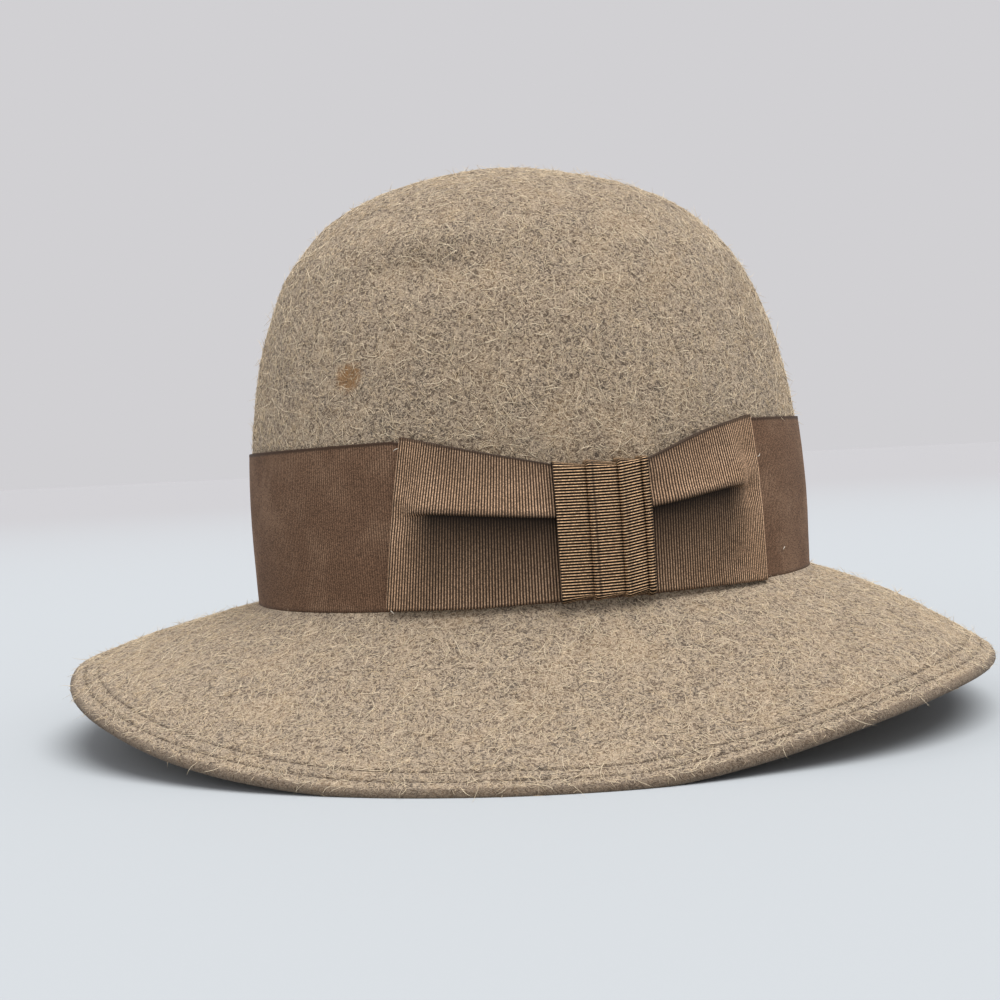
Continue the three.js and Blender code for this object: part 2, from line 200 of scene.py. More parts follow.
# Brim: from the break straight out, with a bow of 4 share (1 - share), then half round the edge.
def brimGrid(turn):
    degrees = np.degrees(turn) % 360
    lift, reach, bow = readTable(np.where(degrees > 180, 360 - degrees, degrees), brimEdge)
    start = crownPoint(turn, np.zeros_like(turn))
    ends = halfLength + np.where(np.cos(turn) > 0, felt["brimFront"], felt["brimBack"])
    out = np.stack([crownMiddle + ends * reach * np.cos(turn) - start[..., 0],
                    -(halfWidth + felt["brimSide"]) * reach * np.sin(turn) - start[..., 1]], -1)
    length = np.hypot(out[..., 0], out[..., 1])
    direction = out / length[..., None]
    length = length - rimRadius
    bow = bow * felt["brimBow"]
    startZ, centreZ = start[..., 2], lift * felt["breakHeight"] - felt["restPress"] + rimRadius
    slope = np.arctan2(centreZ - startZ - 4 * bow, length)
    hemShare = 1 - felt["hemWidth"] / np.hypot(length, startZ - centreZ)
    share = np.concatenate([rowShares(felt["brimRows"]) * hemShare,
                            hemShare + rowShares(felt["hemRows"]) * (1 - hemShare)])
    endOut, endZ = length - rimRadius * np.sin(slope), centreZ + rimRadius * np.cos(slope)
    angle = slope + pi / 2 - pi * rowShares(felt["rimRows"])
    out = np.concatenate([endOut * share, length + rimRadius * np.cos(angle)])
    z = np.concatenate([startZ + (endZ - startZ) * share + 4 * share * (1 - share) * bow,
                        centreZ + rimRadius * np.sin(angle)])
    flat = start[..., :2] + direction * out[..., None]
    return notBelow(np.concatenate([flat, z[..., None]], -1))


# Meshes and objects

def fromAxis(points):
    return points * (1, 1, 0) - (crownMiddle, 0, 0)


# Unit normals of a grid, from its central differences, which point out from the hat at one spot.
def outwardNormals(grid, spot, wrapRows=False, wrapCols=False):
    down = np.roll(grid, -1, 0) - np.roll(grid, 1, 0) if wrapRows else np.gradient(grid, axis=0)
    along = np.roll(grid, -1, 1) - np.roll(grid, 1, 1) if wrapCols else np.gradient(grid, axis=1)
    normals = unit(np.cross(along, down))
    return normals if normals[spot] @ fromAxis(grid[spot]) > 0 else -normals


# Smooth mesh from arrays of points, quads and triangles.
def makeMesh(name, points, quads, triangles=np.empty((0, 3), int)):
    mesh = bpy.data.meshes.new(name)
    faces = quads.reshape(-1, 4).tolist() + triangles.tolist()
    mesh.from_pydata((points * mm).tolist(), [], faces)
    mesh.validate()
    mesh.shade_smooth()
    return mesh


# Quads of a grid that closes round its columns, and round its rows too where wrapRows is set.
def gridQuads(rows, cols, wrapRows=False):
    i, j = np.arange(rows if wrapRows else rows - 1)[:, None], np.arange(cols)
    i2, j2 = (i + 1) % rows, (j + 1) % cols
    return np.stack([i * cols + j, i * cols + j2, i2 * cols + j2, i2 * cols + j], -1)


# Signed volume of a closed mesh.
def signedVolume(points, quads):
    a, b, c, d = (points[quads.reshape(-1, 4)[:, k]] for k in range(4))
    return (np.einsum("ij,ij->", a, np.cross(b, c)) + np.einsum("ij,ij->", a, np.cross(c, d))) / 6


def addValue(mesh, name, values):
    attribute = mesh.attributes.new(name, "FLOAT", "POINT")
    attribute.data.foreach_set("value", np.ravel(values).astype(np.float32))


def addObject(name, data):
    thing = bpy.data.objects.new(name, data)
    bpy.context.scene.collection.objects.link(thing)
    return thing


# A finished piece: riding on the hat, with its material, and the parts it stands for hidden.
def finishPiece(mesh, name, material, nodes=()):
    piece = addObject(name, mesh)
    mesh.materials.append(material)
    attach(piece, root)
    if nodes:
        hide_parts(*nodes)
    return piece


# Camera: the photo's own, with the floor taken for level

view = {
    "lens": 51.84, "nearest": 0.02, "place": (-9.2, -520, 89.2), "pitch": 1.6, "roll": 2.8,
}


def makeCamera():
    data = bpy.data.cameras.new("hatCamera")
    data.lens = view["lens"]
    data.clip_start = view["nearest"]
    camera = addObject("hatCamera", data)
    pitch = Matrix.Rotation(math.radians(90 - view["pitch"]), 4, "X")
    roll = Matrix.Rotation(math.radians(-view["roll"]), 4, "Z")
    camera.matrix_world = Matrix.Translation(Vector(view["place"]) * mm) @ pitch @ roll
    bpy.context.scene.camera = camera


makeCamera()
print("camera made")


# Materials

# sheen is its weight, its roughness and its tint.
def newMaterial(name, roughness, specular, sheen=(0.0, 0.5, (1, 1, 1))):
    material = bpy.data.materials.new(name)
    material.use_nodes = True
    shader = material.node_tree.nodes["Principled BSDF"]
    values = {"Roughness": roughness, "Specular IOR Level": specular, "Sheen Weight": sheen[0],
              "Sheen Roughness": sheen[1], "Sheen Tint": (*sheen[2], 1)}
    for key, value in values.items():
        shader.inputs[key].default_value = value
    return material, material.node_tree, shader


# Object coordinates in millimetres.
def millimetres(tree):
    place = tree.nodes.new("ShaderNodeTexCoord")
    mapping = tree.nodes.new("ShaderNodeMapping")
    mapping.inputs["Scale"].default_value = (1 / mm, 1 / mm, 1 / mm)
    tree.links.new(place.outputs["Object"], mapping.inputs["Vector"])
    return mapping.outputs["Vector"]


def noise(tree, vector, size, detail=2.0, distortion=0.0):
    node = tree.nodes.new("ShaderNodeTexNoise")
    node.inputs["Scale"].default_value = 1 / size
    node.inputs["Detail"].default_value = detail
    node.inputs["Distortion"].default_value = distortion
    tree.links.new(vector, node.inputs["Vector"])
    return node.outputs["Fac"]


def feed(tree, socket, value):
    if hasattr(value, "is_linked"):
        tree.links.new(value, socket)
    else:
        socket.default_value = value


def calculate(tree, operation, a, b=0.5, clamp=False):
    node = tree.nodes.new("ShaderNodeMath")
    node.operation = operation
    node.use_clamp = clamp
    feed(tree, node.inputs[0], a)
    feed(tree, node.inputs[1], b)
    return node.outputs[0]


def times(tree, value, share):
    return calculate(tree, "MULTIPLY", value, share)


# Thin bright lines where a noise crosses its middle: 1 - |2 n - 1| * sharpness.
def veins(tree, value, sharpness):
    away = calculate(tree, "ABSOLUTE", calculate(tree, "SUBTRACT", value, 0.5))
    return calculate(tree, "SUBTRACT", 1.0, times(tree, away, 2 * sharpness), clamp=True)


def spread(tree, value, low, high):
    node = tree.nodes.new("ShaderNodeMapRange")
    node.interpolation_type = "SMOOTHSTEP"
    feed(tree, node.inputs["Value"], value)
    node.inputs["From Min"].default_value = low
    node.inputs["From Max"].default_value = high
    return node.outputs["Result"]


def blend(tree, share, a, b, mode="MIX"):
    node = tree.nodes.new("ShaderNodeMix")
    node.data_type = "RGBA"
    node.blend_type = mode
    feed(tree, node.inputs["Factor"], share)
    for socket, value in ((node.inputs[6], a), (node.inputs[7], b)):
        feed(tree, socket, (*value, 1) if isinstance(value, tuple) else value)
    return node.outputs[2]


def pointValue(tree, name):
    node = tree.nodes.new("ShaderNodeAttribute")
    node.attribute_name = name
    return node.outputs["Fac"]


def addBump(tree, shader, height, distance, strength):
    node = tree.nodes.new("ShaderNodeBump")
    node.inputs["Strength"].default_value = strength
    node.inputs["Distance"].default_value = distance * mm
    tree.links.new(height, node.inputs["Height"])
    tree.links.new(node.outputs["Normal"], shader.inputs["Normal"])


# Colours are linear red, green and blue.
feltFinish = {
    "fawn": (0.146, 0.102, 0.068), "cream": (0.645, 0.505, 0.356), "brown": (0.035, 0.024, 0.016),
    "grey": (0.116, 0.089, 0.066), "gold": (0.26, 0.178, 0.105), "edge": (0.085, 0.055, 0.034),
    "rust": (0.28, 0.135, 0.036),
    "roughness": 0.96, "specular": 0.15, "sheen": (0.25, 0.6, (0.95, 0.86, 0.74)),
    # patches: size, detail, noise from start to full, colour
    "patches": ((7, 4, 0.42, 0.6, "grey"), (17, 3, 0.5, 0.68, "gold")),
    # nets of hairs: size, bend, thinness, share, colour
    "nets": {"dark": (1.5625, 1.1, 5.0, 0.38, "brown"), "wide": (2.125, 1.4, 4.4, 0.42, "gold"),
             "fine": (1.25, 0.9, 4.2, 0.8, "cream")},
    "speck": (0.7, 1), "speckFrom": (0.62, 0.72), "speckShare": 0.5,
    "bump": (0.5, 0.7), "fineBump": 0.6,
    # stain: turn in degrees, height, ragged edge, and how far out it starts and is full
    "stainTurn": 125.7, "stainHeight": 73.9, "ragged": (1.6, 3), "raggedness": 5.0,
    "stainFade": (9.2, 4.8), "stainShare": 0.84,
}


# Felt: a mottled ground, three nets of hairs over it, specks, the rust stain, a darker edge that is
# partly rubbed felt and partly painted shade, and painted shade in the sewn grooves.
def feltMaterial():
    finish = feltFinish
    material, tree, shader = newMaterial("feltFawn", finish["roughness"], finish["specular"],
                                         finish["sheen"])
    vector = millimetres(tree)
    base, lines = finish["fawn"], {}
    for size, detail, low, high, colour in finish["patches"]:
        patches = spread(tree, noise(tree, vector, size, detail), low, high)
        base = blend(tree, patches, base, finish[colour])
    for key, (size, bend, thin, share, colour) in finish["nets"].items():
        lines[key] = veins(tree, noise(tree, vector, size, distortion=bend), thin)
        base = blend(tree, times(tree, lines[key], share), base, finish[colour])
    speck = spread(tree, noise(tree, vector, *finish["speck"]), *finish["speckFrom"])
    base = blend(tree, times(tree, speck, finish["speckShare"]), base, finish["cream"])
    stain = tree.nodes.new("ShaderNodeVectorMath")
    stain.operation = "DISTANCE"
    tree.links.new(vector, stain.inputs[0])
    stain.inputs[1].default_value = crownPoint(math.radians(finish["stainTurn"]),
                                               alongAt(finish["stainHeight"])).tolist()
    rough = times(tree, noise(tree, vector, *finish["ragged"]), finish["raggedness"])
    ragged = calculate(tree, "ADD", stain.outputs["Value"], rough)
    rusty = times(tree, spread(tree, ragged, *finish["stainFade"]), finish["stainShare"])
    base = blend(tree, rusty, base, finish["rust"])
    # the edge colour: partly rubbed felt, partly painted shade on the rim, beneath the brim and inside
    base = blend(tree, pointValue(tree, "edge"), base, finish["edge"])
    # painted shade in the sewn grooves
    base = blend(tree, pointValue(tree, "groove"), base, finish["brown"])
    tree.links.new(base, shader.inputs["Base Color"])
    height = calculate(tree, "ADD", times(tree, lines["fine"], finish["fineBump"]),
                       calculate(tree, "SUBTRACT", lines["wide"], lines["dark"]))
    addBump(tree, shader, height, *finish["bump"])
    return material


def plainMaterial(name, colour, roughness):
    material, _, shader = newMaterial(name, roughness, 0.3)
    shader.inputs["Base Color"].default_value = (*colour, 1)
    return material


# yarn: worn patches and flecks, their size and noise from start to full
yarn = {
    "patchSize": 16, "patchFrom": (0.4, 0.7), "fleckSize": 0.4, "fleckFrom": (0.35, 0.65),
    "darkFleck": (0.55, 0.53, 0.51), "paleFleck": (1.36, 1.31, 1.25), "selvedgeShare": 0.95,
    "paintedShadeTone": 0.3, "bump": (0.06, 0.6), "specular": 0.1, "sheen": (0.04, 0.4, (0.9, 0.74, 0.58)),
}


# Ribbon: yarn lighter on the crests of its ribs, which its mesh gives, and worn in patches. The crests
# are lighter partly from wear and partly as a painted highlight, and the valleys darker as painted
# shade.
def ribbonMaterial(name, finish):
    material, tree, shader = newMaterial(name, finish["roughness"], yarn["specular"], yarn["sheen"])
    vector = millimetres(tree)
    patches = spread(tree, noise(tree, vector, yarn["patchSize"], 4, 0.4), *yarn["patchFrom"])
    tone = blend(tree, patches, finish["crest"], finish["worn"])
    crests = spread(tree, pointValue(tree, "crest"), *finish["crestFrom"])
    base = blend(tree, crests, finish["shadedValley"], tone)
    fleck = noise(tree, vector, yarn["fleckSize"])
    flecks = blend(tree, spread(tree, fleck, *yarn["fleckFrom"]), yarn["darkFleck"], yarn["paleFleck"])
    base = blend(tree, 1.0, base, flecks, mode="MULTIPLY")
    selvedge = times(tree, pointValue(tree, "selvedge"), yarn["selvedgeShare"])
    base = blend(tree, selvedge, base, finish["selvedge"])
    # painted shade: the mesh's shade values blend the colour towards a near-black tone
    paintedShadeColour = tuple(yarn["paintedShadeTone"] * part for part in finish["shadedValley"])
    base = blend(tree, pointValue(tree, "shade"), base, paintedShadeColour)
    tree.links.new(base, shader.inputs["Base Color"])
    addBump(tree, shader, fleck, *yarn["bump"])
    return material


# Felt body

stitching = {
    # the rows' distances from the edge, depth and width of their grooves, pull from below
    "rows": (4.0, 8.5), "depth": 0.4, "spread": 0.5, "pull": 0.7,
    "length": 2.1, "gap": 0.9, "radius": 0.13, "hump": 1.8, "proud": 0.02, "sides": 4, "steps": 2,
    "colour": (0.11, 0.075, 0.05),
}


# Outside of the felt: the crown's rows evenly spaced, the break eased by averaging rows, a soft
# unevenness and the sewn grooves.
def feltGrid():
    turns = 2 * pi * np.arange(felt["columns"])[None, :] / felt["columns"]
    shares = np.linspace(1, 0, felt["outlineSteps"])
    lengths = lengthsAlong(crownPoint(np.zeros_like(shares), shares))
    alongs = np.interp(np.linspace(felt["firstRow"], lengths[-1], felt["crownRows"]), lengths, shares)
    grid = np.concatenate([crownPoint(turns, alongs[:, None]), brimGrid(turns)])
    for _ in range(felt["easeTimes"]):
        above, near, below = (grid[breakRow - up:breakRow + 5 - up] for up in (3, 2, 1))
        grid[breakRow - 2:breakRow + 3] = near / 2 + (above + below) / 4
    normals = outwardNormals(grid, (breakRow // 2, 0), wrapCols=True)
    fade = np.ones(grid.shape[:2])
    bandRow = int(np.searchsorted(-alongs, -alongAt(ribbon["width"])))
    fade[bandRow:breakRow + felt["spareRows"]] = felt["underBand"]
    fade[edgeRow + 1:] = felt["onEdge"]
    rough = sum(softNoise(grid, *values) for values in felt["noises"])
    grid = grid + normals * (felt["unevenness"] * fade * rough)[..., None]

    # two grooves where the turned edge is sewn down
    rows = np.arange(grid.shape[0])[:, None]
    fromEdge = (edgeRow - rows) * felt["hemWidth"] / felt["hemRows"]
    groove = sum(fadeOut(fromEdge - place, 1, stitching["spread"]) for place in stitching["rows"])
    inHem = (rows > hemRow - felt["spareRows"]) * (rows < edgeRow)
    groove = groove * inHem * np.ones((1, grid.shape[1]))
    sewn = grid - normals * (stitching["depth"] * groove)[..., None]
    return {"outside": notBelow(sewn), "smooth": notBelow(grid), "normals": normals, "alongs": alongs,
            "turns": turns, "groove": groove}


# Closed shell: the outside, back inside at one wall or both layers of the edge, and two poles.
def feltPiece(shape, material):
    grid, normals, smooth = shape["outside"], shape["normals"], shape["smooth"]
    pulled = stitching["depth"] * stitching["pull"] * shape["groove"][..., None]
    deep = smooth - normals * felt["hemThickness"] + normals * pulled
    thin = smooth - normals * felt["wall"]
    hemCount, brimCount, crownCount = felt["insideRows"]
    hemBack = np.round(np.linspace(edgeRow - 2, hemRow, hemCount)).astype(int)
    inside = np.round(np.concatenate([np.linspace(hemRow - 1, breakRow, brimCount),
                                      np.linspace(breakRow - 3, 0, crownCount)])).astype(int)
    rows = notBelow(np.concatenate([grid, deep[hemBack], thin[hemRow:hemRow + 1], thin[inside]]))
    count, columns = rows.shape[:2]

    edge, groove = np.zeros((2, count, columns))
    rimEnd = edgeRow + felt["rimRows"] + 1
    hemEnd = rimEnd + hemCount
    edge[edgeRow - 3:edgeRow] = np.array(felt["edgeAbove"])[:, None]
    edge[edgeRow:rimEnd] = np.linspace(*felt["edgeRound"], rimEnd - edgeRow)[:, None]
    edge[rimEnd:hemEnd] = np.linspace(*felt["edgeUnder"], hemCount)[:, None]
    edge[hemEnd:] = felt["edgeInside"]
    groove[:len(grid)] = felt["grooveShade"] * shape["groove"]

    zero = np.zeros(1)
    points = np.concatenate([rows.reshape(-1, 3), crownPoint(zero, zero + 1),
                             placeCrown(zero, zero, zero + felt["crownHeight"] - felt["wall"])])
    quads = gridQuads(count, columns)
    j = np.arange(columns)
    k = (j + 1) % columns
    bottom = (count - 1) * columns
    pole = 0 * j + len(points)
    triangles = np.concatenate([np.stack([pole - 2, k, j], -1),
                                np.stack([pole - 1, bottom + j, bottom + k], -1)])
    if signedVolume(points, quads) < 0:
        quads, triangles = quads[..., ::-1], triangles[..., ::-1]
    mesh = makeMesh("feltBody", points, quads, triangles)
    addValue(mesh, "edge", np.append(edge.ravel(), [0, felt["edgeInside"]]))
    addValue(mesh, "groove", np.append(groove.ravel(), [0, 0]))
    return finishPiece(mesh, "feltBody", material, ["felt_body"])


# Ribbons

ribbon = {
    "width": 52.5, "gap": 0.3, "thickness": 0.5, "samplesPerRib": 4, "selvedgeRise": 0.12,
    # blend of a selvedge into the ribs, and painted light on the lower one: the share of the dark
    # selvedge colour it takes
    "selvedgeBlend": 0.5, "litLowerSelvedge": 0.45, "bandSteps": 1440,
}
bow = {"forward": 21.3, "knotWidth": 28, "opening": 0.9}
# side is 1 to the back and -1 to the front, and the tuck dies out at tuckEnd. A row is the share of
# the way from the knot to the fold, then top, foot and tuck as shares of the ribbon's width.
backLoop = {
    "side": 1, "length": 50.2, "slant": 8.5, "tuckEnd": 0.97, "pucker": 0.35, "ripple": (9.0, 22, 0.16),
    "rows": [(0, 0.8, 0.012, 0.49), (0.5, 0.91, 0, 0.54), (1, 1.02, 0.01, 0.59)],
}
frontLoop = {
    "side": -1, "length": 41.9, "slant": 2.2, "tuckEnd": 0.91, "pucker": 0.8, "ripple": (9.0, 20, 0.16),
    "rows": [(0, 0.795, 0.012, 0.51), (0.5, 0.935, 0.004, 0.575), (1, 1.02, -0.005, 0.62)],
}
loopFoot, loopTop = backLoop["rows"][0][2], backLoop["rows"][0][1]

steps = (np.arange(ribbon["bandSteps"]) + 0.5) * pi / ribbon["bandSteps"]
speeds = np.hypot(halfLength * np.sin(steps), halfWidth * np.cos(steps)) * pi / ribbon["bandSteps"]
bandLengths = runningSum(speeds)
bandTurns = np.linspace(0, pi, ribbon["bandSteps"] + 1)
knotPlace = bandLengths[ribbon["bandSteps"] // 2] - bow["forward"]


# Point at a length round the break, a height above it and a distance off the felt.
def bandPoint(length, height, proud):
    turn = np.interp(length, bandLengths, bandTurns)
    return crownPoint(turn, alongAt(height + ribbon["gap"]), proud)


# How far out on a loop a turn lies: 0 under the knot, 1 at the fold and beyond it.
def outOnLoop(turn):
    aside = np.interp(turn, bandTurns, bandLengths) - knotPlace
    length = np.where(aside > 0, backLoop["length"], frontLoop["length"])
    return np.where(turn > pi, 1, np.clip((np.abs(aside) - bow["knotWidth"] / 2) / length, 0, 1))


# A ribbon from the grid of its middle surface, rows along it: two faces, the outer one raised by
# ribs, height * cos(2 pi along / pitch), and a bead at each selvedge. spot faces outwards.
def ribbonStrip(name, node, middle, along, across, form, material, spot, shade=0.0,
                closed=False):
    thickness = ribbon["thickness"]
    normals = outwardNormals(middle, spot, wrapRows=closed)
    crest = np.cos(2 * pi * along / form["pitch"])[:, None] * np.ones_like(across)
    fromSide = np.minimum(across, across.max(1, keepdims=True) - across)
    bead = smoothStep((form["selvedgeWidth"] - fromSide) / ribbon["selvedgeBlend"])
    swell = thickness / 2 + form["ribHeight"] * crest * (1 - bead) + ribbon["selvedgeRise"] * bead
    outer = middle + normals * swell[..., None]
    inner = middle - normals * thickness / 2
    rings = np.concatenate([outer, inner[:, ::-1]], 1)
    count, size = rings.shape[:2]
    quads = gridQuads(count, size, closed).reshape(-1, 4)
    if not closed:
        j = np.arange(size // 2 - 1)
        last = (count - 1) * size
        start = np.stack([j, size - 1 - j, size - 2 - j, j + 1], -1)
        end = last + np.stack([j, j + 1, size - 2 - j, size - 1 - j], -1)
        quads = np.concatenate([quads, start, end])
    points = rings.reshape(-1, 3)
    if signedVolume(points, quads) < 0:
        quads = quads[:, ::-1]
    mesh = makeMesh(name, points, quads)
    # painted light: the lower selvedge catches the light, so it takes less of the dark selvedge colour
    # than the upper one
    edges = bead * np.where(across < across.max() / 2, ribbon["litLowerSelvedge"], 1)
    shade = shade + np.zeros_like(across)
    addValue(mesh, "crest", np.concatenate([crest * 0.5 + 0.5, np.full_like(crest, 0.5)], 1))
    addValue(mesh, "selvedge", np.concatenate([edges, edges[:, ::-1]], 1))
    addValue(mesh, "shade", np.concatenate([shade, shade[:, ::-1]], 1))
    return finishPiece(mesh, name, material, [node])


band = {
    "ribHeight": 0.05, "pitch": 0.87, "selvedgeWidth": 1.1, "proud": 0.75, "length": 565,
    # columns as shares of the width, steps round the crown, drop under the knot
    "shares": (0, 0.012, 0.026, 0.1, 0.24, 0.38, 0.52, 0.66, 0.8, 0.93, 0.974, 0.988, 1),
    "roundSteps": 7201, "drop": 0.04, "ripple": (14.0, 11, 0.22),
    # crest: partly wear, partly painted highlight; shadedValley: painted shade between the ribs
    "crest": (0.172, 0.103, 0.065), "shadedValley": (0.107, 0.062, 0.039), "worn": (0.262, 0.170, 0.112),
    "selvedge": (0.045, 0.026, 0.017), "roughness": 0.62, "crestFrom": (0.1, 0.9),
}


# Hat band: round the crown above the break. Its upper edge drops under the knot.
def hatBand(material):
    count = int(round(band["length"] / band["pitch"])) * ribbon["samplesPerRib"]
    fine = np.linspace(0, 2 * pi, band["roundSteps"])
    lengths = lengthsAlong(crownPoint(fine, np.zeros_like(fine), band["proud"]))
    along = lengths[-1] * np.arange(count) / count
    turns = np.interp(along, lengths, fine)[:, None]
    shares = np.array(band["shares"])
    low = (loopTop - band["drop"]) * ribbon["width"]
    top = low + (ribbon["width"] - low) * outOnLoop(turns)
    middle = crownPoint(turns, alongAt(top * shares + ribbon["gap"]), band["proud"])
    ripple = softNoise(middle, *band["ripple"]) * np.sin(pi * shares)
    middle = middle + unit(fromAxis(middle)) * ripple[..., None]
    pitch = lengths[-1] / count * ribbon["samplesPerRib"]
    return ribbonStrip("hatBand", "hat_band", middle, along * band["pitch"] / pitch, top * shares, band,
                       material, (0, 5), closed=True)


# Folded ribbon from the lengths between its points and its direction at each, which turns evenly:
# how far across, how far out and how far along each point is.
def followFold(spans, directions):
    middle = (directions[..., :-1] + directions[..., 1:]) / 2
    chords = spans * np.sinc(np.diff(directions) / 2 / pi)
    return [runningSum(part) for part in (chords * np.cos(middle), chords * np.sin(middle), spans)]


loops = {
    "ribHeight": 0.12, "pitch": 0.85, "selvedgeWidth": 1.0, "backProud": 1.55, "lowerLean": 0.1,
    # tuck: its bends, the run between them, the lip's tilt, the least lower fold
    "bend": 1.35, "shortRun": 0.05, "lipTilt": 0.26, "leastLower": 4,
    "edgeShares": (0, 0.032, 0.05), "lowShares": ((0.14, 0.7, 5), (0.76, 1, 11)),
    "highShares": (0, 0.86, 11), "bendPoints": 6, "backSteps": 14, "foldSteps": 14,
    # painted shade and its reach: under the lip, down the lower fold, on the lip, by the upper edge
    "underLip": (0.99, 1.9), "lowerFold": (0.98, 23), "lipRoll": (0.9, 1.0), "upperEdge": (0.33, 11),
    "shadeGain": 1.3, "darkest": 0.99,
    # under the knot: length, height left, start and reach of the pressing
    "underKnot": 3.5, "pressed": (0.4, -1, 12), "tuckFade": 0.2,
    # height, spacing, shift and fade of the gathers; inset, length, reach and spacing of the pucker
    "gathers": (0.28, 9.0, 1.3, 3.2), "pucker": (0.05, 0.11, 10, 15),
}


# Folded section of a loop. The ribbon keeps its width: what its height lacks goes into the tuck,
# whose angle a solves loss = 2 bend (1 - sin a / a) + run (1 - cos a).
def tuckedSection(foot, top, lip, amount):
    bend, shortRun, n = loops["bend"], loops["shortRun"], loops["bendPoints"]
    loss = np.maximum(ribbon["width"] - (top - foot), 0.0) * amount
    angles = np.linspace(0.02, pi, 400)
    taken = 2 * bend * (1 - np.sin(angles) / angles) + shortRun * (1 - np.cos(angles))
    angle = np.interp(loss, taken, angles)
    run = np.where(loss > taken[-1], (loss - 2 * bend) / 2, shortRun)
    lipDrop = (bend * np.sin(angle) / angle + run * np.cos(angle)
               + bend / angle * (np.sin(angle) - np.sin(angle / 2)))
    lower = np.maximum(lip - foot - lipDrop, loops["leastLower"])
    upper = ribbon["width"] - lower - 2 * bend - run
    lean, tilt = loops["lowerLean"] * amount, loops["lipTilt"] * angle / pi
    edgeShares = np.array(loops["edgeShares"])
    lowShares = np.concatenate([edgeShares] + [np.linspace(*part) for part in loops["lowShares"]])
    highShares = np.concatenate([np.linspace(*loops["highShares"]), 1 - edgeShares[::-1]])
    bends = np.linspace(0, 1, n + 1)[1:]
    bendSpans = np.full((len(foot), n), bend / n)
    # the lower fold leans out up to the bend, and the ribbon comes back down to the lip
    turned = angle - tilt
    lowSpans = np.concatenate([lower * np.diff(lowShares), bendSpans, run, bendSpans], 1)
    lowDirections = np.concatenate([lean * lowShares, lean + (turned - lean) * bends, turned,
                                    turned + (-tilt - turned) * bends], 1)
    out = followFold(lowSpans, lowDirections)[1][:, -1:]
    # the upper fold slopes back to the band
    highTurn = -tilt + 2 * (tilt - out / np.maximum(upper, 1)) * highShares
    across, outward, length = followFold(
        np.concatenate([lowSpans, upper * np.diff(highShares)], 1),
        np.concatenate([lowDirections, highTurn[:, 1:]], 1))
    across = foot + across
    # the last trace of stretch goes in evenly up to the upper selvedge
    high = np.clip((length - lower) / (ribbon["width"] - lower), 0, 1)
    across = across + (top - across[:, -1:]) * high ** 2
    # painted shade: dark under the lip and less so down to the foot, and some on the lip and by the
    # upper edge
    below = np.maximum(lip - across, 0)
    dark = np.maximum(fadeOut(below, *loops["underLip"], 3), fadeOut(below, *loops["lowerFold"], 1))
    shadeOnUpperFold = fadeOut(across - lip, *loops["lipRoll"]) + fadeOut(top - across, *loops["upperEdge"])
    paintedShade = np.where(length < lower + bend + run, dark, shadeOnUpperFold)
    return across, outward, length, paintedShade * np.minimum(loops["shadeGain"] * angle / pi, 1)


# Loop: out from under the knot on the band, round its end, and back in front with the tuck.
def bowLoop(name, node, loop, material):
    side, end, inner = loop["side"], loop["length"], -loops["underKnot"]
    radius = bow["opening"] / 2 + ribbon["thickness"] / 2
    backOut = np.linspace(inner, end, loops["backSteps"])
    frontOut = np.arange(end, inner, -loops["pitch"] / ribbon["samplesPerRib"])
    rounds = np.linspace(0, pi, loops["foldSteps"] + 2)[1:-1]
    out = np.concatenate([backOut, np.full(len(rounds), end), frontOut])
    angle = np.concatenate([np.zeros(len(backOut)), rounds, np.full(len(frontOut), pi)])
    travelled = runningSum(np.abs(np.diff(out)) + radius * np.abs(np.diff(angle)))
    out, angle = out[:, None], angle[:, None]
    share = np.clip(out / end, 0, 1)
    top, foot, lip = readTable(share, loop["rows"]) * ribbon["width"]
    turnedBack = smoothStep((angle - pi / 2) / (pi / 2))
    amount = turnedBack * smoothStep((loop["tuckEnd"] - share) / loops["tuckFade"])
    height, outward, across, paintedShade = tuckedSection(foot, top, lip, amount)
    fan = (0.5 - height / ribbon["width"]) * loop["slant"] * share
    away = bow["knotWidth"] / 2 + out + fan + radius * np.sin(angle)
    # soft folds that run from the knot and die out
    tall, spacing, shift, fade = loops["gathers"]
    waves = np.cos(height * 2 * pi / spacing + shift * side)
    gathers = tall * amount * waves * np.exp(-share * fade)
    # beyond its end the tuck goes on as a soft pucker
    fromLip = height - lip
    inset, long, reach, spacing = loops["pucker"]
    puckered = fadeOut(share - loop["tuckEnd"] + inset, loop["pucker"], long) * turnedBack
    puckered = puckered * fadeOut(fromLip, 1, reach) * np.sin(fromLip * 2 * pi / spacing)
    # pressed flatter under the knot
    pressed, start, reach = loops["pressed"]
    free = smoothStep((out - start) / reach)
    lifted = (outward + gathers + puckered) * (pressed + (1 - pressed) * free)
    proud = loops["backProud"] + radius - radius * np.cos(angle) + lifted
    lengths = knotPlace + side * away
    middle = bandPoint(lengths, height, proud)
    middle = bandPoint(lengths, height, proud + softNoise(middle, *loop["ripple"]) * amount)
    return ribbonStrip(name, node, middle, travelled, across, loops, material,
                       (-len(frontOut) // 2, 5), np.minimum(paintedShade, loops["darkest"]))


